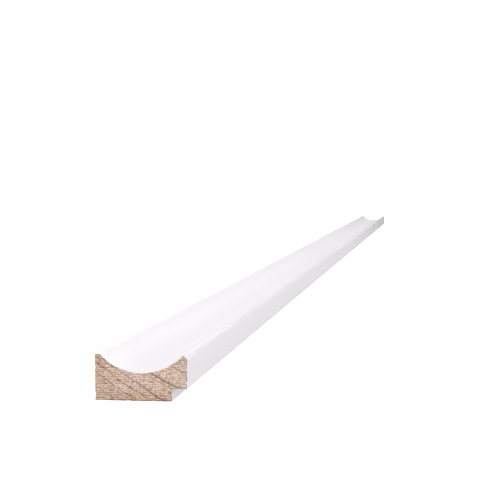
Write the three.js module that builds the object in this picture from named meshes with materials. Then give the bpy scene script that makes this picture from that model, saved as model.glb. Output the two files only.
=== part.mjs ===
// A straight length of painted pine trim moulding, lying on its back with its face up.
// It is one milled piece. Its section is a flat-backed batten, twice as wide as it is high, with
// a wide shallow scoop along the face. A narrow land stays beside the scoop at the outer edge,
// a chamfer breaks the edge at the inner side, and a rebate under that side lets the moulding
// lap over the edge of a panel or frame. Both ends are cut square.
// Millimetres, +Z up, +X towards the rebated side, Y along the length. The origin is the middle
// of the underside of the bounding box.
import * as THREE from "three";

// Driving dimensions
const LENGTH = 2100;
const WIDTH = 42;
const HEIGHT = 21;
const LAND_WIDTH = 2.2; // flat left on the face outside the scoop
const CHAMFER = 1.8; // at 45 degrees, from the scoop's inner edge to the side
const SCOOP_DEPTH = 8.25;
const REBATE_WIDTH = 7;
const REBATE_HEIGHT = 5.8;
const ARRIS_RADIUS = 0.5; // rounding of the land's outer edge

// Fineness of the curves: an arc gets twice this many straight steps
const CURVE_DIVISIONS = 12;

// Places on the section that follow from the driving dimensions, in the section's own plane:
// x across the moulding and y up from its back
const OUTER_SIDE = -WIDTH / 2;
const INNER_SIDE = WIDTH / 2;
const SHOULDER = INNER_SIDE - REBATE_WIDTH;
const SCOOP_OUTER_EDGE = OUTER_SIDE + LAND_WIDTH;
const SCOOP_INNER_EDGE = INNER_SIDE - CHAMFER;

// The arc of the scoop, from its chord across the face and its depth
function scoopArc() {
  const halfChord = (SCOOP_INNER_EDGE - SCOOP_OUTER_EDGE) / 2;
  const radius = (halfChord ** 2 + SCOOP_DEPTH ** 2) / (2 * SCOOP_DEPTH);
  return {
    x: (SCOOP_INNER_EDGE + SCOOP_OUTER_EDGE) / 2,
    y: HEIGHT - SCOOP_DEPTH + radius,
    radius,
    halfAngle: Math.asin(halfChord / radius),
  };
}

// The section, drawn anticlockwise from the foot of the outer side. An arc draws the straight
// line to its own start.
function sectionShape() {
  const scoop = scoopArc();
  const down = -Math.PI / 2;
  const section = new THREE.Shape();
  section.moveTo(OUTER_SIDE, 0);
  section.lineTo(SHOULDER, 0);
  section.lineTo(SHOULDER, REBATE_HEIGHT);
  section.lineTo(INNER_SIDE, REBATE_HEIGHT);
  section.lineTo(INNER_SIDE, HEIGHT - CHAMFER);
  section.absarc(
    scoop.x,
    scoop.y,
    scoop.radius,
    down + scoop.halfAngle,
    down - scoop.halfAngle,
    true,
  );
  section.absarc(
    OUTER_SIDE + ARRIS_RADIUS,
    HEIGHT - ARRIS_RADIUS,
    ARRIS_RADIUS,
    Math.PI / 2,
    Math.PI,
    false,
  );
  return section;
}

// White satin paint over the wood
const whitePaint = new THREE.MeshStandardMaterial({
  color: 0xf2f2ef,
  roughness: 0.45,
  metalness: 0,
});

// The section swept along the length. Turning it about X stands the section up and leads the
// sweep towards -Y, and the shift along Y centres it.
function mouldingLength() {
  const geometry = new THREE.ExtrudeGeometry(sectionShape(), {
    depth: LENGTH,
    bevelEnabled: false,
    curveSegments: CURVE_DIVISIONS,
  });
  const moulding = new THREE.Mesh(geometry, whitePaint);
  moulding.name = "moulding";
  moulding.rotation.x = Math.PI / 2;
  moulding.position.y = LENGTH / 2;
  return moulding;
}

const trim = new THREE.Group();
trim.name = "trim_moulding";
trim.add(mouldingLength());

export default trim;
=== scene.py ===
"""Looks of a length of white-painted pine trim moulding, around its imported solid.

The moulding is one milled piece of pine. Its long faces carry a white satin paint, and its two
ends are bare where the saw went through. The piece made here stands for the solid: the same
section and length, with softened arrises, a paint film that shows as a thin rim round each sawn
end, saw marks and tear-out in the end grain, and small knocks along the edges.

Metres, +Z up from the flat back, +X towards the rebated side, +Y along the length and away from
the camera. The origin is the middle of the underside.
"""

import logging
import math
from collections.abc import Iterable
from dataclasses import dataclass, field
from enum import Enum
from functools import partial, reduce
from typing import Any, ClassVar

import bmesh
import bpy
from bmesh.types import BMEdge, BMesh, BMFace, BMVert
from mathutils import Euler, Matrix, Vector, noise
from mathutils.kdtree import KDTree


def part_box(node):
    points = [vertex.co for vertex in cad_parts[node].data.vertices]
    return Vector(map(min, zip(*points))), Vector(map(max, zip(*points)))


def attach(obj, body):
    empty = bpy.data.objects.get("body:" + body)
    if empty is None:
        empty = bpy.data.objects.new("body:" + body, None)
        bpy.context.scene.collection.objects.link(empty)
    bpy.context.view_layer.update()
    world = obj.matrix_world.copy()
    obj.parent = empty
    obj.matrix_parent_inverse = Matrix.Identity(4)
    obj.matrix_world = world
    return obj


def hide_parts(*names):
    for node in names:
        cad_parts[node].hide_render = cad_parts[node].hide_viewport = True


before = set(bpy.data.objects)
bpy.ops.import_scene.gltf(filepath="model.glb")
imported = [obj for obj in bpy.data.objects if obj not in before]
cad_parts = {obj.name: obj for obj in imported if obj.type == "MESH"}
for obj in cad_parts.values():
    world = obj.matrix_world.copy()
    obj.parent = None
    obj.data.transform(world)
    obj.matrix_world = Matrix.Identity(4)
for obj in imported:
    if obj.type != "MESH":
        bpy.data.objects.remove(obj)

Triple = tuple[float, float, float]
Socket = bpy.types.NodeSocket

LOG = logging.getLogger("moulding")
MM = 0.001
ZERO = (0, 0, 0)
WHITE = (1, 1, 1, 1)
ACROSS = Vector((1, 0, 0))
ALONG = Vector((0, 1, 0))
UP = Vector((0, 0, 1))
SAME_PLACE = 1e-6
NODE = "moulding"
BAKE_MAP = "OFBake"
RIM = "rim"


class Arris(Enum):
    """The long edges of the section, going round it from the foot of the outer side."""

    OUTER_FOOT = 0
    SHOULDER_FOOT = 1
    SHOULDER_HEAD = 2
    LIP_FOOT = 3
    CHAMFER_FOOT = 4
    SCOOP_INNER = 5
    SCOOP_OUTER = 6
    LAND_OUTER = 7


class End(Enum):
    """The two sawn ends, by the way that each faces along Y."""

    NEAR = -1
    FAR = 1


class Finish(Enum):
    """The finishes of the piece, by their place among its material slots."""

    PAINT = 0
    END_GRAIN = 1


# Mesh


@dataclass(frozen=True)
class Section:
    """The milled section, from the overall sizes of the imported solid.

    Attributes:
        width: Across the moulding, along X.
        height: From the flat back to the highest edge.
        length: From end to end, along Y.
        land_width: The flat beside the scoop at the outer side.
        chamfer: Both legs of the chamfer at the inner side.
        scoop_depth: From the scoop's edges down to its lowest line.
        rebate_width: How far the rebate reaches in under the inner side.
        rebate_height: From the back up to the rebate's lip.
        scoop_steps: How many facets the scoop's arc has.
    """

    width: float
    height: float
    length: float
    land_width: float = 2.2 * MM
    chamfer: float = 1.8 * MM
    scoop_depth: float = 8.25 * MM
    rebate_width: float = 7 * MM
    rebate_height: float = 5.8 * MM
    scoop_steps: int = 48

    @classmethod
    def of_node(cls, node: str) -> "Section":
        """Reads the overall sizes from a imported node."""
        low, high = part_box(node)
        return cls(width=high.x - low.x, height=high.z - low.z, length=high.y - low.y)

    @property
    def inner_side(self) -> float:
        """X of the rebated side."""
        return self.width / 2

    @property
    def shoulder(self) -> float:
        """X of the rebate's upright wall."""
        return self.inner_side - self.rebate_width

    def corner(self, arris: Arris) -> Vector:
        """Finds where a long edge crosses the section, before it is softened.

        Args:
            arris: The long edge.

        Returns:
            The place, with Y at zero.
        """
        scoop_inner = self.inner_side - self.chamfer
        scoop_outer = -self.width / 2 + self.land_width
        x, z = {
            Arris.OUTER_FOOT: (-self.width / 2, 0.0),
            Arris.SHOULDER_FOOT: (self.shoulder, 0.0),
            Arris.SHOULDER_HEAD: (self.shoulder, self.rebate_height),
            Arris.LIP_FOOT: (self.inner_side, self.rebate_height),
            Arris.CHAMFER_FOOT: (self.inner_side, self.height - self.chamfer),
            Arris.SCOOP_INNER: (scoop_inner, self.height),
            Arris.SCOOP_OUTER: (scoop_outer, self.height),
            Arris.LAND_OUTER: (-self.width / 2, self.height),
        }[arris]
        return Vector((x, 0.0, z))

    def scoop_circle(self) -> tuple[Vector, float, float]:
        """Works out the scoop's arc from its chord and depth.

        Returns:
            The arc's centre, its radius and half the angle that it covers.
        """
        inner = self.corner(Arris.SCOOP_INNER)
        outer = self.corner(Arris.SCOOP_OUTER)
        half_chord = (inner.x - outer.x) / 2
        radius = (half_chord**2 + self.scoop_depth**2) / (2 * self.scoop_depth)
        middle = (inner + outer) / 2
        centre = middle + Vector((0, 0, radius - self.scoop_depth))
        return centre, radius, math.asin(half_chord / radius)

    def depth_in_wood(self, place: Vector) -> float:
        """Measures how far inside the section a place lies.

        Args:
            place: The place, whose Y doesn't count.

        Returns:
            The distance from the nearest side.
        """
        centre, radius, _ = self.scoop_circle()
        past_shoulder = self.shoulder - place.x
        above_lip = place.z - self.rebate_height
        from_chamfer = self.inner_side - place.x + self.height - place.z - self.chamfer
        around_rebate = max(past_shoulder, above_lip)
        if past_shoulder > 0 and above_lip > 0:
            around_rebate = math.hypot(past_shoulder, above_lip)
        return min(
            place.x + self.width / 2,
            place.z,
            around_rebate,
            self.inner_side - place.x,
            from_chamfer / math.sqrt(2),
            self.height - place.z,
            math.dist(place.xz, centre.xz) - radius,
        )


@dataclass(frozen=True)
class Knock:
    """A small dent in a long edge.

    Attributes:
        arris: The edge that took it.
        place: Distance of its middle from the near end.
        reach: Half of its length along the edge.
        depth: How far it goes in at its middle.
    """

    arris: Arris
    place: float
    reach: float
    depth: float


@dataclass(frozen=True)
class SawnEnd:
    """How the ends were left by the saw.

    Attributes:
        film: Thickness of the paint film, which shows as a rim round the wood.
        dark_border: Width of the darker border just inside it.
        row_pitch: Spacing of the net's rows, fine enough for the saw marks.
        column_pitch: Spacing of its columns.
        recess: How far the wood sits behind the film's edge.
        mark_pitch: Mean spacing of the saw marks.
        mark_depth: Their depth.
        fuzz_depth: Depth of the torn fibres.
        tear_height: How far up the saw tore the foot out.
        tear_depth: Depth of that tear-out.
        ragged: How far the lower edge is eaten at its worst.
        chip: How far the other edges are.
        worn_width: How far from the middle the foot is worn the most.
        heart_height: Height of the line that the chips go towards.
    """

    film: float = 0.12 * MM
    dark_border: float = 0.35 * MM
    row_pitch: float = 0.2 * MM
    column_pitch: float = 0.42 * MM
    recess: float = 0.03 * MM
    mark_pitch: float = 0.75 * MM
    mark_depth: float = 0.07 * MM
    fuzz_depth: float = 0.06 * MM
    tear_height: float = 1.1 * MM
    tear_depth: float = 0.35 * MM
    ragged: float = 0.4 * MM
    chip: float = 0.3 * MM
    worn_width: float = 21 * MM
    heart_height: float = 9 * MM

    def depth_at(self, x: float, z: float, end: End) -> float:
        """Gives how far the sawn wood lies behind the plane of the cut.

        Args:
            x: Place across the section.
            z: Place up the section.
            end: Which end, as the two aren't alike.

        Returns:
            The depth, never under zero.
        """
        drift = 40.0 * end.value
        row = z / self.mark_pitch
        mark = noise.noise(Vector((x / (9 * MM), drift, row)))
        fine_mark = noise.noise(Vector((x / (3 * MM), drift + 7, row * 2.1)))
        fuzz = noise.noise(Vector((x / (0.8 * MM), drift + 13, z / (0.5 * MM))))
        low = max(0.0, 1 - z / self.tear_height)
        tear = max(0.0, noise.noise(Vector((x / (1.3 * MM), drift + 29, z / MM))))
        return max(
            0.0,
            self.recess
            + self.mark_depth * (0.5 + 0.7 * mark + 0.4 * fine_mark)
            + self.fuzz_depth * fuzz
            + self.tear_depth * low * tear * 2,
        )

    def chip_at(self, co: Vector, back: float, share: float, in_scoop: bool) -> Vector:
        """Gives how a chip moves a point of the edge round a sawn end.

        Args:
            co: The point.
            back: How far behind the cut it lies, as a share of a chip's reach.
            share: How far it belongs to the edge.
            in_scoop: Whether it lies on the scoop.

        Returns:
            The move, across the length.
        """
        bite = max(0.0, noise.noise(co / (0.8 * MM)) - 0.05)
        if co.z < self.tear_height:
            towards_foot = 1 - co.z / self.tear_height
            worn = 0.3 * max(0.0, -co.x / self.worn_width)
            eaten = self.ragged * (2.0 * bite + worn)
            return Vector((0, 0, eaten * towards_foot * (1 - back**2)))
        inward = -UP if in_scoop else Vector((-co.x, 0, self.heart_height - co.z))
        return inward.normalized() * self.chip * 1.8 * bite * share * (1 - back) ** 6


@dataclass(frozen=True)
class BakeSheet:
    """How the piece's faces share the square of its own map.

    The length is cut into runs that lie one above the other, and the two ends, where the
    detail is finest, get the strip that is left.

    Attributes:
        runs: How many lengths the long faces are laid out in.
        margin: Clear border round every patch.
        run_height: Height of one run's patch.
        end_scale: Share of the square that a metre of the end covers.
    """

    runs: int = 4
    margin: float = 0.006
    run_height: float = 0.18
    end_scale: float = 10.5

    def long_face(self, run: int, along: float, around: float) -> tuple[float, float]:
        """Places a point of the long faces.

        Args:
            run: Which run it is on.
            along: Share of that run's length.
            around: Share of the way round the section.

        Returns:
            Its place on the map.
        """
        u = self.margin + along * (1 - 2 * self.margin)
        v = self.margin + run * (self.run_height + self.margin) + around * self.run_height
        return u, v

    def end_face(self, section: Section, end: End, co: Vector) -> tuple[float, float]:
        """Places a point of a sawn end.

        Args:
            section: The moulding's section.
            end: Which end.
            co: The point.

        Returns:
            Its place on the map.
        """
        column = 0 if end is End.NEAR else 1
        patch = section.width * self.end_scale + 2 * self.margin
        u = self.margin + column * patch + (co.x + section.width / 2) * self.end_scale
        floor = self.margin + self.runs * (self.run_height + self.margin)
        return u, floor + co.z * self.end_scale


@dataclass
class MouldingLength:
    """The one piece of the object: it is milled, drawn to length, sawn and knocked about.

    Attributes:
        section: The milled section.
        sawn: How the saw left the ends.
        sheet: How the faces share the map.
        knocks: The dents in the long edges.
        softening_steps: How many facets a rounded edge has.
        run_cuts: How many times the run between the ends is cut across.
        end_rings: How far from an end the long faces are cut across.
        waver: How far a rounded edge wanders.
        slow_wave: Length of its slow waves.
        quick_wave: Length of its quick waves.
        flat: How squarely a face looks along an axis to count as flat.
        end_on: How squarely it looks along the length to count as part of an end.
        bm: The mesh while it is worked.
    """

    # How far each long edge is rounded.
    SOFTENING: ClassVar[dict[Arris, float]] = {
        Arris.OUTER_FOOT: 0.35 * MM,
        Arris.SHOULDER_FOOT: 0.3 * MM,
        Arris.SHOULDER_HEAD: 0.5 * MM,
        Arris.LIP_FOOT: 0.2 * MM,
        Arris.CHAMFER_FOOT: 0.45 * MM,
        Arris.SCOOP_INNER: 0.16 * MM,
        Arris.SCOOP_OUTER: 0.3 * MM,
        Arris.LAND_OUTER: 0.5 * MM,
    }

    section: Section
    sawn: SawnEnd
    sheet: BakeSheet
    knocks: tuple[Knock, ...]
    softening_steps: int = 4
    run_cuts: int = 417
    end_rings: tuple[float, ...] = (0.5 * MM, 2.5 * MM, 5 * MM)
    waver: float = 0.05 * MM
    slow_wave: float = 45 * MM
    quick_wave: float = 12 * MM
    flat: float = 0.9999
    end_on: float = 0.5
    bm: BMesh = field(default_factory=bmesh.new)

    def build(self, finishes: dict[Finish, bpy.types.Material]) -> bpy.types.Object:
        """Makes the piece and dresses it.

        Args:
            finishes: The material of each finish.

        Returns:
            The piece, at the origin, riding on the frame in place of its node.
        """
        self.mill_section()
        self.draw_to_length()
        self.soften_arrises()
        for end in End:
            self.ring_end(end)
        for end in End:
            self.saw_end(end)
            self.score_band(end)
        self.divide_run()
        self.lay_out_long_faces()
        for end in End:
            self.lay_out_end(end)
        self.shade_faces()
        self.waver_arrises()
        for knock in self.knocks:
            self.dent(knock)
        for end in End:
            self.roughen_end(end)
        self.put_in_order()
        mesh = bpy.data.meshes.new("moulding_length")
        self.bm.to_mesh(mesh)
        self.bm.free()
        for finish in Finish:
            mesh.materials.append(finishes[finish])
        piece = bpy.data.objects.new("moulding_length", mesh)
        bpy.context.scene.collection.objects.link(piece)
        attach(piece, "root")
        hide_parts(NODE)
        return piece

    def put_in_order(self) -> None:
        """Sorts the points and faces by place, so that each run gives the same mesh."""
        verts = sorted(self.bm.verts, key=lambda v: (round(v.co.y, 6), round(v.co.x, 6), v.co.z))
        vert_order = {vert: order for order, vert in enumerate(verts)}
        self.bm.verts.sort(key=vert_order.get)
        faces = sorted(self.bm.faces, key=lambda f: sorted(vert_order[v] for v in f.verts))
        face_order = {face: order for order, face in enumerate(faces)}
        self.bm.faces.sort(key=face_order.get)

    def mill_section(self) -> None:
        """Makes the section as one face at the near end."""
        section = self.section
        start = section.corner(Arris.SCOOP_INNER)
        near = Vector((0, -section.length / 2, 0))
        centre, _, half_angle = section.scoop_circle()
        first = self.bm.verts.new(start + near)
        bmesh.ops.spin(
            self.bm,
            geom=[first],
            cent=centre + near,
            axis=ALONG,
            angle=2 * half_angle,
            steps=section.scoop_steps,
            use_duplicate=False,
        )
        arc = sorted(self.bm.verts, key=lambda v: -v.co.x)
        # The six corners off the scoop, from the land's outer edge to the chamfer's foot.
        others = [Arris.LAND_OUTER, *Arris][:6]
        corners = [self.bm.verts.new(section.corner(a) + near) for a in others]
        self.bm.faces.new([*arc, *corners])

    def draw_to_length(self) -> None:
        """Extrudes the section from the near end to the far one."""
        drawn = bmesh.ops.extrude_face_region(self.bm, geom=list(self.bm.faces))
        moved = [g for g in drawn["geom"] if isinstance(g, BMVert)]
        bmesh.ops.translate(self.bm, verts=moved, vec=(0, self.section.length, 0))
        bmesh.ops.recalc_face_normals(self.bm, faces=list(self.bm.faces))

    def long_edges(self) -> list[BMEdge]:
        """Lists the edges that run along the moulding."""
        return [e for e in self.bm.edges if abs(e.verts[0].co.y - e.verts[1].co.y) > SAME_PLACE]

    def soften_arrises(self) -> None:
        """Rounds each long edge, as sanding and the paint's build leave it."""
        for arris, radius in self.SOFTENING.items():
            corner = self.section.corner(arris)
            at_corner = [
                e
                for e in self.long_edges()
                if math.dist(e.verts[0].co.xz, corner.xz) < SAME_PLACE
            ]
            bmesh.ops.bevel(
                self.bm,
                geom=at_corner,
                offset=radius,
                offset_type="OFFSET",
                segments=self.softening_steps,
                profile=0.5,
                affect="EDGES",
                clamp_overlap=True,
                material=-1,
            )

    def ring_end(self, end: End) -> None:
        """Scores the long faces round an end, where its edge will be chipped.

        Args:
            end: Which end.
        """
        for ring in self.end_rings:
            place = Vector((0, end.value * (self.section.length / 2 - ring), 0))
            self.cut_across(list(self.bm.faces), place, ALONG)

    def divide_run(self) -> None:
        """Cuts the long faces between the ends into short steps, finer at each knock."""
        half = self.section.length / 2
        whole_run = [e for e in self.bm.edges if e.calc_length() > half]
        bmesh.ops.subdivide_edges(self.bm, edges=whole_run, cuts=self.run_cuts, use_grid_fill=True)
        # Equal places along the length are made exactly equal.
        for vert in self.bm.verts:
            vert.co.y = round(vert.co.y, 5)
        step = self.section.length / self.run_cuts
        for knock in (k for k in self.knocks if k.reach < step):
            # From one end of the knock to the other, in quarters of its length.
            for quarter in range(-2, 3):
                place = knock.place - half + knock.reach * quarter / 2
                around = [
                    f for f in self.bm.faces if abs(f.calc_center_median().y - place) < 1.5 * step
                ]
                self.cut_across(around, Vector((0, place, 0)), ALONG)

    def cut_across(self, faces: Iterable[BMFace], place: Vector, normal: Vector) -> list[BMFace]:
        """Scores faces along a plane.

        Args:
            faces: The faces to cut.
            place: A point of the plane.
            normal: The plane's normal.

        Returns:
            The faces that the cut leaves in their place.
        """
        geom = list(dict.fromkeys(part for f in faces for part in (f, *f.edges, *f.verts)))
        cut = bmesh.ops.bisect_plane(
            self.bm, geom=geom, dist=SAME_PLACE, plane_co=place, plane_no=normal
        )
        return [part for part in cut["geom"] if isinstance(part, BMFace)]

    def way_round(self) -> tuple[KDTree, list[float], float]:
        """Measures how far round the section each long edge lies.

        Returns:
            A tree of the edges' places on the section, the distance of each, and the whole
            way round.
        """
        ring_y = self.end_rings[0] - self.section.length / 2
        ring = [v for v in self.bm.verts if abs(v.co.y - ring_y) < SAME_PLACE]
        tree = KDTree(len(ring))
        distances: list[float] = []
        start = min(ring, key=lambda v: (round(v.co.z, 7), v.co.x))
        at, came_from, travelled = start, None, 0.0
        while at is not start or not distances:
            tree.insert((at.co.x, 0, at.co.z), len(distances))
            distances.append(travelled)
            neighbours = (e.other_vert(at) for e in at.link_edges)
            onward = next(
                other
                for other in neighbours
                if other is not came_from and abs(other.co.y - ring_y) < SAME_PLACE
            )
            travelled += (onward.co - at.co).length
            at, came_from = onward, at
        tree.balance()
        return tree, distances, travelled

    def lay_out_long_faces(self) -> None:
        """Places the long faces on the piece's own map, in runs one above the other."""
        tree, distances, whole = self.way_round()
        uv = self.bm.loops.layers.uv.new(BAKE_MAP)
        run_length = self.section.length / self.sheet.runs
        for face in self.bm.faces:
            if abs(face.normal.y) > self.end_on:
                continue
            middle = face.calc_center_median().y + self.section.length / 2
            run = min(int(middle / run_length), self.sheet.runs - 1)
            places = [(loop.vert.co.x, 0, loop.vert.co.z) for loop in face.loops]
            around = [distances[tree.find(place)[1]] for place in places]
            crosses_start = max(around) - min(around) > whole / 2
            for loop, distance in zip(face.loops, around, strict=True):
                if crosses_start and distance < whole / 2:
                    distance += whole
                along = (loop.vert.co.y + self.section.length / 2) / run_length - run
                loop[uv].uv = self.sheet.long_face(run, along, distance / whole)

    def end_faces(self, end: End) -> list[BMFace]:
        """Lists the faces in the plane of one end.

        Args:
            end: Which end.

        Returns:
            The faces, of wood and of the rim of paint.
        """
        plane = end.value * self.section.length / 2
        return [
            f
            for f in self.bm.faces
            if f.normal.y * end.value > self.end_on
            and all(abs(v.co.y - plane) < SAME_PLACE for v in f.verts)
        ]

    def saw_end(self, end: End) -> None:
        """Parts the wood of an end from the rim of paint round it, and scores it finely.

        Args:
            end: Which end.
        """
        wood = self.end_faces(end)
        bmesh.ops.inset_region(
            self.bm,
            faces=wood,
            thickness=self.sawn.film,
            depth=0,
            use_even_offset=True,
            use_boundary=True,
        )
        for face in wood:
            face.material_index = Finish.END_GRAIN.value
        for place, normal in self.net(end):
            wood = self.cut_across(wood, place, normal)
        rim = self.bm.verts.layers.float.get(RIM) or self.bm.verts.layers.float.new(RIM)
        for vert in {v for f in wood for v in f.verts}:
            inside = (self.section.depth_in_wood(vert.co) - self.sawn.film) / self.sawn.dark_border
            vert[rim] = min(1.0, max(0.0, 1 - inside))

    def net(self, end: End) -> list[tuple[Vector, Vector]]:
        """Lists the level and upright planes that score an end.

        Args:
            end: Which end.

        Returns:
            A point and the normal of each plane.
        """
        section = self.section
        plane = Vector((0, end.value * section.length / 2, 0))
        rows = int(section.height / self.sawn.row_pitch)
        columns = int(section.width / self.sawn.column_pitch)
        levels = [section.height * row / rows for row in range(1, rows)]
        sides = [section.width * (column / columns - 0.5) for column in range(1, columns)]
        return [
            *((plane + UP * z, UP) for z in levels),
            *((plane + ACROSS * x, ACROSS) for x in sides),
        ]

    def score_band(self, end: End) -> None:
        """Scores the long faces close to an end, so that their edge can be chipped.

        Args:
            end: Which end.
        """
        plane = end.value * self.section.length / 2
        reach = max(self.end_rings)
        band = [
            f
            for f in self.bm.faces
            if f.material_index == Finish.PAINT.value
            and abs(f.calc_center_median().y - plane) < reach
        ]
        for place, normal in self.net(end):
            band = self.cut_across(band, place, normal)

    def lay_out_end(self, end: End) -> None:
        """Places the faces of one end on the piece's own map.

        Args:
            end: Which end.
        """
        uv = self.bm.loops.layers.uv[BAKE_MAP]
        for face in self.end_faces(end):
            for loop in face.loops:
                loop[uv].uv = self.sheet.end_face(self.section, end, loop.vert.co)

    def wood_at(self, end: End) -> set[BMVert]:
        """Lists the points of the bare wood at one end.

        Args:
            end: Which end.

        Returns:
            The points.
        """
        return {
            v
            for f in self.bm.faces
            if f.material_index == Finish.END_GRAIN.value
            and f.calc_center_median().y * end.value > 0
            for v in f.verts
        }

    def shade_faces(self) -> None:
        """Smooths the curved faces, and leaves the flat ones flat."""
        for face in self.bm.faces:
            on_axis = any(abs(face.normal.dot(axis)) > self.flat for axis in (ACROSS, UP))
            low_in_scoop = on_axis and self.in_scoop(face.calc_center_median())
            face.smooth = low_in_scoop or not on_axis

    def in_scoop(self, place: Vector) -> bool:
        """Tells whether a place lies on the scoop's arc, or just inside the film on it.

        Args:
            place: The place, whose Y doesn't count.

        Returns:
            Whether it does.
        """
        centre, radius, _ = self.section.scoop_circle()
        just_inside = 1.5 * self.sawn.film
        return abs(math.dist(place.xz, centre.xz) - radius) < just_inside

    def inward(self, arris: Arris) -> Vector:
        """Gives the way into the wood from a long edge.

        Args:
            arris: The long edge.

        Returns:
            A direction, of length 1.
        """
        over_lip = Vector((0, 0, 14 * MM))
        under_scoop = Vector((-4 * MM, 0, 8 * MM))
        heart = over_lip if arris is Arris.LIP_FOOT else under_scoop
        return (heart - self.section.corner(arris)).normalized()

    def waver_arrises(self) -> None:
        """Lets the softened edges wander a little, as a brushed and sanded edge does."""
        for arris, radius in self.SOFTENING.items():
            if arris is Arris.SHOULDER_HEAD:
                continue
            corner, inward = self.section.corner(arris), self.inward(arris)
            reach = 0.8 * radius
            seed = 11.0 * arris.value
            for vert in self.bm.verts:
                away = math.dist(vert.co.xz, corner.xz)
                if away > reach:
                    continue
                slow = noise.noise(Vector((vert.co.y / self.slow_wave, seed, 0)))
                quick = noise.noise(Vector((vert.co.y / self.quick_wave, seed, 5)))
                shift = self.waver * max(0.0, 0.5 + 0.8 * slow + 0.4 * quick)
                vert.co += inward * shift * (1 - away / reach)

    def dent(self, knock: Knock) -> None:
        """Presses one knock into its edge.

        Args:
            knock: The dent.
        """
        corner, inward = self.section.corner(knock.arris), self.inward(knock.arris)
        middle = knock.place - self.section.length / 2
        spread = 2.5 * knock.depth + self.SOFTENING[knock.arris]
        for vert in self.bm.verts:
            along = (vert.co.y - middle) / knock.reach
            away = math.dist(vert.co.xz, corner.xz) / spread
            if abs(along) < 1 and away < 1:
                vert.co += inward * knock.depth * (1 - along**2) * (1 - away)

    def roughen_end(self, end: End) -> None:
        """Sinks the wood of an end to the saw's marks, and chips its edges.

        Args:
            end: Which end.
        """
        plane = end.value * self.section.length / 2
        wood = self.wood_at(end)
        rim = self.bm.verts.layers.float[RIM]
        reach = max(self.end_rings)
        near = [v for v in self.bm.verts if abs(v.co.y - plane) < reach]
        for vert in near:
            back = abs(vert.co.y - plane) / reach
            share = vert[rim] if vert in wood else 1.0
            vert.co += self.sawn.chip_at(vert.co, back, share, self.in_scoop(vert.co))
        for vert in wood:
            vert.co.y -= end.value * self.sawn.depth_at(vert.co.x, vert.co.z, end)


# Finishes


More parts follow.
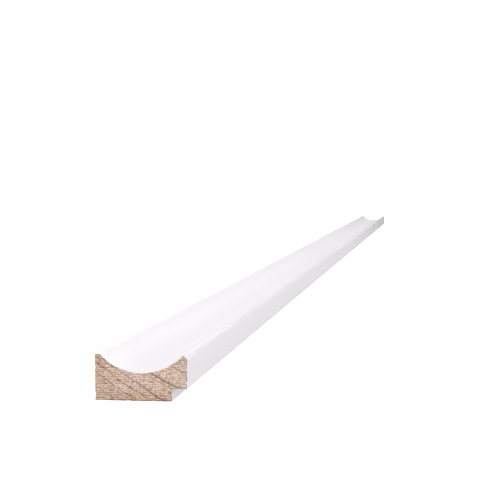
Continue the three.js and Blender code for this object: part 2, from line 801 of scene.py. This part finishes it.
@dataclass
class NodeSheet:
    """One node tree, with short calls that add nodes and join their sockets.

    Attributes:
        tree: A material's or a group's node tree.
    """

    tree: bpy.types.NodeTree

    def add(self, kind: str, **settings: Any) -> bpy.types.Node:
        """Adds a node.

        Args:
            kind: Its type's name.
            settings: Values of its own properties.

        Returns:
            The node.
        """
        node = self.tree.nodes.new(kind)
        for name, value in settings.items():
            setattr(node, name, value)
        return node

    def feed(self, socket: Socket, value: Any) -> None:
        """Links a socket to another, or sets its value.

        Args:
            socket: The input.
            value: An output socket, or a plain value.
        """
        if isinstance(value, Socket):
            self.tree.links.new(value, socket)
        else:
            socket.default_value = value

    def fill(self, node: bpy.types.Node, **inputs: Any) -> None:
        """Feeds a node's inputs by name, with an underscore for a space."""
        for name, value in inputs.items():
            self.feed(node.inputs[name.replace("_", " ")], value)

    def position(self) -> Socket:
        """Gives the Object coordinates of the surface, in metres."""
        return self.add("ShaderNodeTexCoord").outputs["Object"]

    def parts(self, vector: Socket) -> tuple[Socket, ...]:
        """Parts coordinates.

        Args:
            vector: The coordinates.

        Returns:
            X, Y and Z.
        """
        apart = self.add("ShaderNodeSeparateXYZ")
        self.feed(apart.inputs[0], vector)
        return tuple(apart.outputs)

    def stretched(
        self, vector: Socket, scale: Triple, location: Triple = ZERO, rotation: Triple = ZERO
    ) -> Socket:
        """Moves, turns and stretches coordinates.

        Args:
            vector: The coordinates.
            scale: Factor on each axis.
            location: Shift, after the scale.
            rotation: Turn about each axis.

        Returns:
            The new coordinates.
        """
        node = self.add("ShaderNodeMapping")
        self.fill(node, Vector=vector, Scale=scale, Location=location, Rotation=rotation)
        return node.outputs["Vector"]

    def noise(
        self, vector: Socket, scale: float = 1.0, detail: float = 2.0, roughness: float = 0.5
    ) -> Socket:
        """Adds a noise texture.

        Args:
            vector: Its coordinates.
            scale: Its size, in features to the unit.
            detail: How many finer layers it has.
            roughness: How strong those layers are.

        Returns:
            Its value, from 0 to 1.
        """
        node = self.add("ShaderNodeTexNoise")
        self.fill(node, Vector=vector, Scale=scale, Detail=detail, Roughness=roughness)
        return node.outputs["Fac"]

    def streaks(
        self, vector: Socket, scale: Triple, location: Triple = ZERO, **layers: float
    ) -> Socket:
        """Adds a noise with its own scale on each axis, shifted to another pattern."""
        return self.noise(self.stretched(vector, scale, location), **layers)

    def math(self, operation: str, *values: Any, clamp: bool = False) -> Socket:
        """Adds a sum of one kind.

        Args:
            operation: The kind of sum.
            values: Its inputs, sockets or numbers.
            clamp: Whether the result stays from 0 to 1.

        Returns:
            The result.
        """
        node = self.add("ShaderNodeMath", operation=operation, use_clamp=clamp)
        for socket, value in zip(node.inputs, values, strict=False):
            self.feed(socket, value)
        return node.outputs[0]

    def times(self, *factors: Any) -> Socket:
        """Multiplies values, from the first to the last."""
        return reduce(partial(self.math, "MULTIPLY"), factors)

    def plus(self, *terms: Any) -> Socket:
        """Adds values up, from the first to the last."""
        return reduce(partial(self.math, "ADD"), terms)

    def sway(self, value: Socket, size: float) -> Socket:
        """Turns a noise into a shift of up to half a size to either side."""
        return self.times(self.math("SUBTRACT", value, 0.5), size)

    def between(
        self, value: Any, low: float, high: float, to_low: float = 0.0, to_high: float = 1.0
    ) -> Socket:
        """Maps a range of values smoothly to another.

        Args:
            value: The value.
            low: Start of its range.
            high: End of its range.
            to_low: What the start becomes.
            to_high: What the end becomes.

        Returns:
            The mapped value.
        """
        node = self.add("ShaderNodeMapRange", interpolation_type="SMOOTHSTEP")
        self.fill(node, Value=value, From_Min=low, From_Max=high, To_Min=to_low, To_Max=to_high)
        return node.outputs["Result"]

    def ramp(self, factor: Any, stops: Iterable[tuple[float, float]]) -> Socket:
        """Adds a ramp of greys.

        Args:
            factor: Where on the ramp to read.
            stops: Each stop's place and grey.

        Returns:
            The grey, as a colour.
        """
        node = self.add("ShaderNodeValToRGB")
        self.fill(node, Fac=factor)
        elements = node.color_ramp.elements
        for index, (place, grey) in enumerate(stops):
            element = elements[index] if index < 2 else elements.new(place)
            element.position = place
            element.color = (grey, grey, grey, 1)
        return node.outputs["Color"]

    def mix(self, factor: Any, first: Any, second: Any) -> Socket:
        """Mixes two colours.

        Args:
            factor: How much of the second.
            first: The first colour.
            second: The second colour.

        Returns:
            The mixed colour.
        """
        node = self.add("ShaderNodeMix", data_type="RGBA")
        self.fill(node, Factor=factor)
        for name, colour in (("A", first), ("B", second)):
            socket = next(s for s in node.inputs if s.name == name and s.type == "RGBA")
            self.feed(socket, (*colour, 1) if isinstance(colour, tuple) else colour)
        return next(s for s in node.outputs if s.type == "RGBA")

    def group(self, tree: bpy.types.NodeTree, **inputs: Any) -> bpy.types.NodeOutputs:
        """Places a node group.

        Args:
            tree: The group.
            inputs: Its inputs by name, with an underscore for a space.

        Returns:
            The group's outputs.
        """
        node = self.add("ShaderNodeGroup", node_tree=tree)
        self.fill(node, **inputs)
        return node.outputs

    def emboss(self, shader: bpy.types.Node, height: Socket) -> None:
        """Raises a shader's surface.

        Args:
            shader: The shader.
            height: By how much, in metres.
        """
        bump = self.add("ShaderNodeBump")
        self.fill(bump, Distance=1.0, Height=height)
        self.fill(shader, Normal=bump.outputs["Normal"])


def new_group(name: str, inputs: tuple[str, ...], outputs: tuple[str, ...]) -> NodeSheet:
    """Starts a shader node group that takes a position.

    Args:
        name: The group's name.
        inputs: Names of its other inputs, all numbers.
        outputs: Names of its outputs, all numbers.

    Returns:
        The group's tree, with its input and output nodes.
    """
    tree = bpy.data.node_groups.new(name, "ShaderNodeTree")
    sockets = [("Position", "INPUT", "NodeSocketVector")]
    sockets += [(number, "INPUT", "NodeSocketFloat") for number in inputs]
    sockets += [(number, "OUTPUT", "NodeSocketFloat") for number in outputs]
    for socket, in_out, kind in sockets:
        tree.interface.new_socket(name=socket, in_out=in_out, socket_type=kind)
    tree.nodes.new("NodeGroupInput")
    tree.nodes.new("NodeGroupOutput")
    return NodeSheet(tree)


@dataclass(frozen=True)
class Ring:
    """One band of late wood.

    Attributes:
        radius: Distance of its sharp outer side from the pith.
        width: How far it fades inwards.
        strength: How dark it is, from 0 to 1.
    """

    radius: float
    width: float
    strength: float


@dataclass(frozen=True)
class GrowthRings:
    """The growth rings through the whole length: circles about a pith outside the section.

    Attributes:
        pith_x: The pith's place across the near end.
        pith_z: Its height there.
        inner: Radius at which the pattern starts.
        outer: Radius at which it ends.
        lean: Turn of the pith about X and Z.
        drift: How much wider the outer rings lie towards the inner side.
        waver: How far a ring wanders over its course.
        shiver: How far it wanders from fibre to fibre.
        rings: The bands of late wood, going outwards.
    """

    pith_x: float = 60 * MM
    pith_z: float = 110 * MM
    inner: float = 98 * MM
    outer: float = 138 * MM
    lean: tuple[float, float] = (0.006, -0.009)
    drift: float = 0.9 * MM
    waver: float = 1.4 * MM
    shiver: float = 0.45 * MM
    rings: tuple[Ring, ...] = (
        Ring(102.5 * MM, 0.5 * MM, 0.5),
        Ring(104.85 * MM, 0.7 * MM, 1.0),
        Ring(112.6 * MM, 1.0 * MM, 1.0),
        Ring(114.1 * MM, 0.6 * MM, 0.8),
        Ring(119.4 * MM, 1.0 * MM, 1.0),
        Ring(122.6 * MM, 0.5 * MM, 0.8),
        Ring(126.0 * MM, 0.5 * MM, 1.0),
        Ring(127.2 * MM, 0.4 * MM, 0.6),
        Ring(131.2 * MM, 0.6 * MM, 0.35),
    )

    def build(self, section: Section) -> bpy.types.NodeTree:
        """Makes the node group.

        Args:
            section: The section, whose near end the pith's place is given at.

        Returns:
            The group, with outputs for the late wood and for the tone from ring to ring.
        """
        sheet = new_group("growth_rings", (), ("Late Wood", "Tone"))
        given = sheet.tree.nodes["Group Input"].outputs["Position"]
        pith = (-self.pith_x, section.length / 2, -self.pith_z)
        near_end = sheet.stretched(given, (1, 1, 1), location=pith)
        centred = sheet.stretched(near_end, (1, 1, 1), rotation=(self.lean[0], 0, self.lean[1]))
        x, _, z = sheet.parts(centred)
        squares = sheet.plus(sheet.times(x, x), sheet.times(z, z))
        drifting = sheet.times(
            sheet.between(x, -self.pith_x - 4 * MM, -self.pith_x + 7 * MM, 0, self.drift),
            sheet.between(squares, (115 * MM) ** 2, (118 * MM) ** 2),
        )
        radius = sheet.math("SUBTRACT", sheet.math("SQRT", squares), drifting)
        waver = sheet.sway(sheet.streaks(given, (70, 3, 70), detail=1), self.waver)
        shiver = sheet.sway(sheet.streaks(given, (520, 12, 520)), self.shiver)
        shifted = sheet.plus(radius, sheet.plus(waver, shiver))
        span = self.outer - self.inner
        place = sheet.math("DIVIDE", sheet.math("SUBTRACT", shifted, self.inner), span)
        stops: list[tuple[float, float]] = []
        for ring in self.rings:
            edge = (ring.radius - self.inner) / span
            fade = ring.width / span
            stops += [
                (edge - fade, 0),
                (edge - 0.12 * fade, ring.strength),
                (edge + 0.2 * fade, 0),
            ]
        late = sheet.ramp(place, stops)
        patches = sheet.streaks(given, (150, 4, 150), detail=1)
        clear = sheet.between(x, -self.pith_x - 9 * MM, -self.pith_x + 3 * MM, 0.35, 1)
        outer = sheet.between(squares, (120 * MM) ** 2, (122 * MM) ** 2)
        seen = sheet.times(
            sheet.between(patches, 0.34, 0.6, 0.75, 1), sheet.math("MAXIMUM", clear, outer)
        )
        tone = sheet.streaks(given, (55, 2, 55), detail=1)
        out = sheet.tree.nodes["Group Output"]
        sheet.fill(out, Late_Wood=sheet.times(late, seen), Tone=tone)
        return sheet.tree


def lengthwise_fibre() -> bpy.types.NodeTree:
    """Makes the node group of the fine fibre that runs along the length.

    Returns:
        The group. Across the length its features are as far apart as Spacing says, and along
        it Reach times that.
    """
    sheet = new_group("lengthwise_fibre", ("Spacing", "Reach"), ("Fibre",))
    given = sheet.tree.nodes["Group Input"].outputs
    fine_step = given["Spacing"]
    long_step = sheet.times(fine_step, given["Reach"])
    joined = sheet.add("ShaderNodeCombineXYZ")
    steps = (fine_step, long_step, fine_step)
    parts = sheet.parts(given["Position"])
    for socket, part, step in zip(joined.inputs, parts, steps, strict=True):
        sheet.feed(socket, sheet.math("DIVIDE", part, step))
    fibre = sheet.noise(joined.outputs[0], detail=3, roughness=0.6)
    sheet.fill(sheet.tree.nodes["Group Output"], Fibre=fibre)
    return sheet.tree


def new_material(name: str) -> tuple[bpy.types.Material, NodeSheet, bpy.types.Node]:
    """Starts a material with one Principled BSDF.

    Args:
        name: The material's name.

    Returns:
        The material, its node tree and its shader.
    """
    material = bpy.data.materials.new(name)
    material.use_nodes = True
    return material, NodeSheet(material.node_tree), material.node_tree.nodes["Principled BSDF"]


@dataclass(frozen=True)
class SatinPaint:
    """The white paint on the long faces, rolled or sprayed over planed pine.

    Attributes:
        colour: Its colour.
        shade: Its colour where it is thinnest, over the late wood and in the hollows.
        roughness: Its mean roughness.
        peel_size: Size of the dimples that it dried in.
        peel_height: Their height.
        grain_height: How much the wood's fibre stands up under it.
        chamfer_highlight: Its colour in the painted highlight along the chamfer, near the near
            end.
        scuff: Colour of the fine scuffs along the chamfer.
        highlight_length: How far from the near end the painted highlight goes.
        highlight_fade: Over how much more it fades.
        scuffed_length: How far from the near end the scuffs go.
    """

    colour: Triple = (0.81, 0.784, 0.81)
    shade: Triple = (0.74, 0.714, 0.738)
    roughness: float = 0.42
    peel_size: float = 1.4 * MM
    peel_height: float = 0.012 * MM
    grain_height: float = 0.02 * MM
    chamfer_highlight: Triple = (0.835, 0.808, 0.835)
    scuff: Triple = (0.6, 0.58, 0.59)
    highlight_length: float = 0.165
    highlight_fade: float = 0.03
    scuffed_length: float = 0.33

    def build(
        self, rings: bpy.types.NodeTree, fibre: bpy.types.NodeTree, section: Section
    ) -> bpy.types.Material:
        """Makes the material.

        Args:
            rings: The growth rings' node group.
            fibre: The fibre's node group.
            section: The section, which places the chamfer.

        Returns:
            The material.
        """
        material, sheet, shader = new_material("white_satin_paint")
        here = sheet.position()
        late_wood = sheet.group(rings, Position=here)["Late Wood"]
        thread = sheet.group(fibre, Position=here, Spacing=0.9 * MM, Reach=60.0)["Fibre"]
        scratch = sheet.group(fibre, Position=here, Spacing=0.35 * MM, Reach=110.0)["Fibre"]
        peel = sheet.noise(here, scale=1 / self.peel_size)
        cloud = sheet.streaks(here, (30, 5, 30))
        over_grain = sheet.plus(
            sheet.times(late_wood, 0.22), sheet.between(thread, 0.5, 0.85, 0, 0.22)
        )
        in_hollows = sheet.between(cloud, 0.35, 0.75, 0, 0.16)
        thin = sheet.math("ADD", over_grain, in_hollows, clamp=True)
        even = sheet.mix(thin, self.colour, self.shade)
        on_chamfer, along = self.chamfer(sheet, section, here)
        # Painted highlight: the chamfer is painted lighter from the near end for a short length,
        # and fades out after it; the scuffs start where it ends.
        start = self.highlight_length
        worn = sheet.times(on_chamfer, sheet.between(along, start, start + self.highlight_fade, 1, 0))
        scuffed = sheet.times(
            on_chamfer,
            sheet.between(scratch, 0.57, 0.64),
            sheet.between(along, start, self.scuffed_length, 0.9, 0),
        )
        chamfer_highlight = sheet.mix(worn, even, self.chamfer_highlight)
        colour = sheet.mix(scuffed, chamfer_highlight, self.scuff)
        # The peel and the cloud add 0.11 in the mean, so that much is taken off again.
        gloss = sheet.plus(sheet.times(peel, 0.12), sheet.times(cloud, 0.1), self.roughness - 0.11)
        sheet.fill(shader, Base_Color=colour, Roughness=gloss)
        grain = sheet.plus(
            sheet.times(thread, self.grain_height), sheet.times(late_wood, self.grain_height)
        )
        sheet.emboss(shader, sheet.plus(sheet.times(peel, self.peel_height), grain))
        return material

    def chamfer(self, sheet: NodeSheet, section: Section, here: Socket) -> tuple[Socket, Socket]:
        """Masks the chamfer.

        Args:
            sheet: The material's node tree.
            section: The section, which places the chamfer.
            here: The Object coordinates.

        Returns:
            The chamfer's mask, and the distance from the near end.
        """
        x, y, z = sheet.parts(here)
        inner = section.inner_side - section.chamfer
        high = section.height - section.chamfer
        beside = sheet.between(x, inner - 0.2 * MM, inner + 0.1 * MM)
        above = sheet.between(z, high - 0.3 * MM, high)
        return sheet.times(beside, above), sheet.plus(y, section.length / 2)


@dataclass(frozen=True)
class SawnPine:
    """The bare end grain, as the saw left it.

    Attributes:
        early: Colour of the wood between the rings.
        warm: The same where it is warmer.
        pale: Colour of the torn fibres that catch the light.
        late: Colour of the late wood.
        pore: Colour of the saw's dark marks.
        dark_border: Colour of the border under the paint.
        inner_border: The border's colour over the rebate, a dark bluish grey.
        stain: Grey-green of the stained tip.
        roughness: Its mean roughness.
        row_pitch: Spacing of the saw's fine rows.
        mottle_size: Size of the finest spots.
    """

    early: Triple = (0.8, 0.615, 0.51)
    warm: Triple = (0.655, 0.448, 0.338)
    pale: Triple = (0.95, 0.84, 0.77)
    late: Triple = (0.16, 0.07, 0.03)
    pore: Triple = (0.22, 0.1, 0.045)
    dark_border: Triple = (0.27, 0.165, 0.11)
    inner_border: Triple = (0.11, 0.115, 0.135)
    stain: Triple = (0.5, 0.465, 0.31)
    roughness: float = 0.85
    row_pitch: float = 1.02 * MM
    mottle_size: float = 0.4 * MM

    def build(self, rings: bpy.types.NodeTree, section: Section) -> bpy.types.Material:
        """Makes the material.

        Args:
            rings: The growth rings' node group.
            section: The section, which places the border and the stained tip.

        Returns:
            The material.
        """
        material, sheet, shader = new_material("sawn_pine_end_grain")
        here = sheet.position()
        x, _, z = sheet.parts(here)
        wood = sheet.group(rings, Position=here)
        mottle = sheet.noise(here, scale=1 / self.mottle_size, roughness=0.6)
        marks = sheet.streaks(here, (330, 200, 2000), roughness=0.7)
        fibres = sheet.streaks(here, (950, 200, 2200), (3, 0, 7), roughness=0.7)
        corner = sheet.times(
            sheet.between(x, -20 * MM, -14 * MM, 1, 0), sheet.between(z, 12 * MM, 17 * MM)
        )
        kerf = self.kerf(sheet, here, z, corner)
        foot = sheet.between(z, 1.5 * MM, 6 * MM, 0.9, 0)
        left = sheet.between(x, -19 * MM, -6 * MM, 0.4, 0)
        tone = sheet.math("MULTIPLY_ADD", wood["Tone"], 0.3, left)
        warmth = sheet.math("MINIMUM", sheet.plus(tone, sheet.plus(foot, corner)), 1.0)
        colour = sheet.mix(warmth, self.early, self.warm)
        uneven = sheet.math("MULTIPLY_ADD", mottle, 2.2 * MM, z)
        # What shows, where it starts, where it is full, how much it covers, and its colour.
        for sign, start, full, cover, tint in (
            (fibres, 0.5, 0.6, 0.6, self.pale),
            (mottle, 0.56, 0.64, 0.6, self.pore),
            (kerf, 0.56, 0.66, 0.66, self.pore),
            (marks, 0.55, 0.6, 0.85, self.pore),
            (uneven, 2.0 * MM, 1.1 * MM, 0.8, self.pore),
        ):
            colour = sheet.mix(sheet.between(sign, start, full, 0, cover), colour, tint)
        ringed = sheet.mix(wood["Late Wood"], colour, self.late)
        # The dark border just inside the paint turns bluish grey from just short of the rebate's
        # wall to the inner side. It is firmer there and in the upper corner of the outer side.
        over_rebate = sheet.between(x, section.shoulder - 2 * MM, section.shoulder - MM)
        firm = sheet.math("MAXIMUM", over_rebate, corner)
        border = self.border(sheet, section, here, mottle, firm)
        bordered = sheet.mix(border, ringed, sheet.mix(over_rebate, self.dark_border, self.inner_border))
        line, tip = self.tip(sheet, section, x, sheet.plus(z, sheet.sway(mottle, 0.8 * MM)))
        stained = sheet.mix(sheet.times(tip, 0.8), bordered, self.stain)
        colour = sheet.mix(sheet.times(line, 0.7), stained, self.pore)
        # The mottle adds 0.1 in the mean, so that much is taken off again.
        rough = sheet.plus(sheet.times(mottle, 0.2), self.roughness - 0.1)
        sheet.fill(shader, Base_Color=colour, Roughness=rough)
        height = sheet.plus(sheet.times(mottle, 0.15 * MM), sheet.times(marks, -0.2 * MM))
        sheet.emboss(shader, height)
        return material

    def kerf(self, sheet: NodeSheet, here: Socket, z: Socket, corner: Socket) -> Socket:
        """Rows the saw's short dashes up, wavering a little.

        Args:
            sheet: The material's node tree.
            here: The Object coordinates.
            z: Their height.
            corner: A mask of the corner where the dashes are thickest.

        Returns:
            How strongly the dashes show.
        """
        wander = sheet.streaks(here, (90, 50, 140), detail=1)
        phase = sheet.times(z, 2 * math.pi / self.row_pitch)
        rows = sheet.math("SINE", sheet.math("MULTIPLY_ADD", wander, 9.0, phase))
        dashes = sheet.streaks(here, (1000, 200, 1000), (9, 0, 2), roughness=0.6)
        rowed = sheet.math("MULTIPLY_ADD", rows, 0.17, dashes)
        return sheet.math("MULTIPLY_ADD", corner, 0.06, rowed)

    def border(
        self, sheet: NodeSheet, section: Section, here: Socket, mottle: Socket, firm: Socket
    ) -> Socket:
        """Masks the dark border just inside the paint.

        Args:
            sheet: The material's node tree.
            section: The section, whose scoop has little of the border.
            here: The Object coordinates.
            mottle: A noise that makes the border ragged.
            firm: A mask of where it is firmer.

        Returns:
            The mask.
        """
        centre, radius, _ = section.scoop_circle()
        reach = sheet.add("ShaderNodeVectorMath", operation="DISTANCE")
        sheet.feed(reach.inputs[0], sheet.stretched(here, (1, 0, 1)))
        sheet.feed(reach.inputs[1], centre)
        away = reach.outputs["Value"]
        off_scoop = sheet.between(away, radius + 0.6 * MM, radius + 0.9 * MM, 0.3, 1)
        ragged = sheet.between(mottle, 0.35, 0.6, 0.35, 1)
        soft = sheet.add("ShaderNodeAttribute", attribute_name=RIM).outputs["Fac"]
        firmer = sheet.math("SUBTRACT", sheet.between(soft, 0.05, 0.5), soft)
        edging = sheet.math("MULTIPLY_ADD", firm, firmer, soft)
        return sheet.times(edging, sheet.times(ragged, off_scoop))

    def tip(
        self, sheet: NodeSheet, section: Section, x: Socket, level: Socket
    ) -> tuple[Socket, Socket]:
        """Masks the stained tip at the inner side, and the dark line that ends it.

        Args:
            sheet: The material's node tree.
            section: The section, which places the tip.
            x: The place across the section.
            level: The height, made uneven.

        Returns:
            The dark line's mask and the stain's.
        """
        start = section.height - section.chamfer - 0.35 * MM
        inner = sheet.between(x, 0, 2 * MM)
        above = sheet.between(level, start, start + 0.3 * MM)
        line_low = sheet.between(level, start - 0.5 * MM, start - 0.15 * MM)
        line_high = sheet.between(level, start + 0.2 * MM, start - 0.05 * MM)
        return sheet.times(line_low, line_high, inner), sheet.times(above, inner)


# Studio


@dataclass(frozen=True)
class SoftBox:
    """One large, soft light that the camera doesn't see.

    Attributes:
        name: Its name.
        place: Where it hangs, from the middle of the moulding's near end.
        target: What it faces, from there too.
        size: Its two sides.
        power: Its power in watts.
    """

    name: str
    place: Triple
    target: Triple
    size: tuple[float, float]
    power: float

    def build(self, near: float) -> None:
        """Hangs the light.

        Args:
            near: Y of the moulding's near end.
        """
        lamp = bpy.data.lights.new(self.name, "AREA")
        lamp.shape = "RECTANGLE"
        lamp.size, lamp.size_y = self.size
        lamp.energy = self.power
        place, target = (Vector((x, near + y, z)) for x, y, z in (self.place, self.target))
        box = bpy.data.objects.new(self.name, lamp)
        box.location = place
        box.rotation_euler = (target - place).to_track_quat("-Z", "Y").to_euler()
        box.visible_camera = False
        bpy.context.scene.collection.objects.link(box)


@dataclass(frozen=True)
class Studio:
    """The white table, the light and the camera.

    Attributes:
        near: Y of the moulding's near end.
        floor_side: Side of the square floor.
        floor_colour: Its colour.
        lens_white: Extra light that only the lens sees, so that the paper stays white.
        room_light: Brightness of the room all round.
        sensor: Width of the camera's sensor, in millimetres.
        focal_length: The lens, in millimetres too.
        clip: The nearest and the farthest that it sees.
        eye: The camera's place, from the middle of the near end.
        swing: How far the camera turns towards +X from the line of +Y.
        tilt: How far it looks down.
        roll: How far its right side dips.
        soft_boxes: The lights.
    """

    near: float
    floor_side: float = 60.0
    floor_colour: Triple = (0.5, 0.5, 0.5)
    lens_white: float = 1.0
    room_light: float = 0.2
    sensor: float = 36
    focal_length: float = 103.1
    clip: tuple[float, float] = (0.02, 200)
    eye: Triple = (0.1338, -0.6227, 0.1016)
    swing: float = math.radians(-7.729)
    tilt: float = math.radians(3.066)
    roll: float = math.radians(0.09)
    soft_boxes: tuple[SoftBox, ...] = (
        SoftBox("side_box", (1.0, 0.5, 0.45), (0, 0.5, 0), (1.2, 0.6), 4.0),
        SoftBox("front_box", (-0.4, -1.6, 0.6), (0, 0, 0), (1.2, 0.8), 16.0),
        SoftBox("left_box", (-1.2, 0.3, 0.8), (0, 0.3, 0), (1.6, 0.8), 7.6),
        SoftBox("back_box", (-0.5, 3.6, 1.0), (0, 1.3, 0), (2.0, 1.0), 8.5),
        SoftBox("top_near_box", (-0.3, 0.1, 1.2), (0, 0.1, 0), (1.0, 1.0), 6.6),
        SoftBox("top_far_box", (0.2, 1.9, 1.3), (0, 1.7, 0), (1.0, 1.6), 12.2),
        SoftBox("low_near_box", (0.9, -0.4, 0.17), (0, 0.2, 0.01), (1.0, 0.3), 5.1),
        SoftBox("low_far_box", (1.0, 1.3, 0.17), (0, 1.3, 0.01), (1.3, 0.3), 4.3),
    )

    def build(self) -> None:
        """Sets up the whole studio."""
        self.lay_floor()
        self.light_room()
        for box in self.soft_boxes:
            box.build(self.near)
        self.place_camera()
        bpy.context.scene.view_settings.view_transform = "Standard"
        bpy.context.scene.view_settings.look = "None"

    def lay_floor(self) -> None:
        """Lays the white floor, which isn't part of the object."""
        bm = bmesh.new()
        bmesh.ops.create_grid(bm, x_segments=1, y_segments=1, size=self.floor_side / 2)
        mesh = bpy.data.meshes.new("floor")
        bm.to_mesh(mesh)
        bm.free()
        floor = bpy.data.objects.new("floor", mesh)
        bpy.context.scene.collection.objects.link(floor)
        material, sheet, shader = new_material("white_floor")
        seen = sheet.add("ShaderNodeLightPath").outputs["Is Camera Ray"]
        sheet.fill(
            shader,
            Base_Color=(*self.floor_colour, 1),
            Roughness=1.0,
            Specular_IOR_Level=0.0,
            Emission_Color=WHITE,
            Emission_Strength=sheet.times(seen, self.lens_white),
        )
        mesh.materials.append(material)

    def light_room(self) -> None:
        """Lights the room evenly, and shows it white to the lens."""
        world = bpy.data.worlds.new("studio")
        bpy.context.scene.world = world
        world.use_nodes = True
        sheet = NodeSheet(world.node_tree)
        seen = sheet.add("ShaderNodeLightPath").outputs["Is Camera Ray"]
        strength = sheet.math("MULTIPLY_ADD", seen, self.lens_white, self.room_light)
        sheet.fill(world.node_tree.nodes["Background"], Color=WHITE, Strength=strength)

    def place_camera(self) -> None:
        """Puts the camera where the photograph was taken from."""
        lens = bpy.data.cameras.new("camera")
        lens.sensor_width = self.sensor
        lens.lens = self.focal_length
        lens.clip_start, lens.clip_end = self.clip
        camera = bpy.data.objects.new("camera", lens)
        camera.location = Vector(self.eye) + Vector((0, self.near, 0))
        camera.rotation_euler = Euler((math.pi / 2 - self.tilt, self.roll, -self.swing), "XYZ")
        bpy.context.scene.collection.objects.link(camera)
        bpy.context.scene.camera = camera


# The place is in metres from the near end, the reach and the depth in millimetres.
KNOCKS = tuple(
    Knock(arris, place, reach * MM, depth * MM)
    for arris, places in {
        Arris.LIP_FOOT: (
            (0.102, 2.5, 0.3),
            (0.152, 2.0, 0.3),
            (0.168, 2.5, 0.3),
            (0.209, 4.0, 0.4),
            (0.276, 4.5, 0.35),
            (0.676, 9.0, 0.45),
            (0.755, 9.0, 0.4),
            (0.826, 10.0, 0.45),
            (0.994, 12.0, 0.4),
            (1.062, 12.0, 0.4),
        ),
        Arris.SCOOP_INNER: ((0.182, 3.0, 0.25), (0.327, 4.0, 0.25), (1.645, 12.0, 0.6)),
        Arris.LAND_OUTER: ((1.15, 12.0, 0.35),),
    }.items()
    for place, reach, depth in places
)


def main() -> None:
    """Builds the studio, the finishes and the moulding."""
    logging.basicConfig(level=logging.INFO, format="%(name)s: %(message)s")
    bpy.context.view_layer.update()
    section = Section.of_node(NODE)
    Studio(near=-section.length / 2).build()
    LOG.info("studio set for a length of %.3f m", section.length)
    rings = GrowthRings().build(section)
    finishes = {
        Finish.PAINT: SatinPaint().build(rings, lengthwise_fibre(), section),
        Finish.END_GRAIN: SawnPine().build(rings, section),
    }
    LOG.info("finishes: %s", ", ".join(m.name for m in finishes.values()))
    piece = MouldingLength(section, SawnEnd(), BakeSheet(), KNOCKS).build(finishes)
    LOG.info("%s: %d faces", piece.name, len(piece.data.polygons))


if __name__ == "__main__":
    main()
